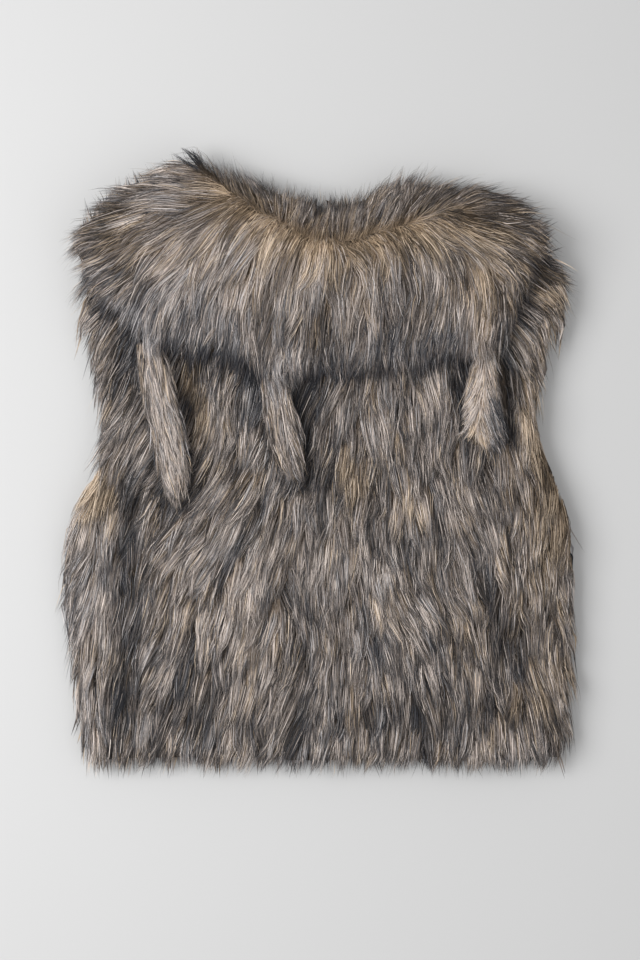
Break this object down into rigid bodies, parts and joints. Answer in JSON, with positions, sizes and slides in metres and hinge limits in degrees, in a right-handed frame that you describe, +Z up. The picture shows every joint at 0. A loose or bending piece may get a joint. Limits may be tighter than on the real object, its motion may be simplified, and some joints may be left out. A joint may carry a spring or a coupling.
{
  "type": "faux fur vest",
  "caption": "Cropped sleeveless faux fur vest laid face down, with a wide cape collar folded over its back and long fur tails hanging from the collar.",
  "frame": {"origin": "middle of the vest's outline, on the surface it lies on", "axes": "+X across the vest, +Y along it towards the neck, +Z up out of the surface"},
  "size_m": [0.5142, 0.6062, 0.0609],
  "materials": {
    "body_fur": "long grey brown faux fur pile with pale streaks and dark tips",
    "collar_fur": "long faux fur pile, warmer and paler than the body",
    "tail_fur": "pale greige faux fur pile"
  },
  "bodies": {
    "root": {"back": "body_fur", "front_left": "body_fur", "front_right": "body_fur", "collar_back": "collar_fur", "collar_front_left": "collar_fur", "collar_front_right": "collar_fur", "tail_left": "tail_fur", "tail_middle": "tail_fur", "tail_right": "tail_fur"}
  },
  "joints": []
}
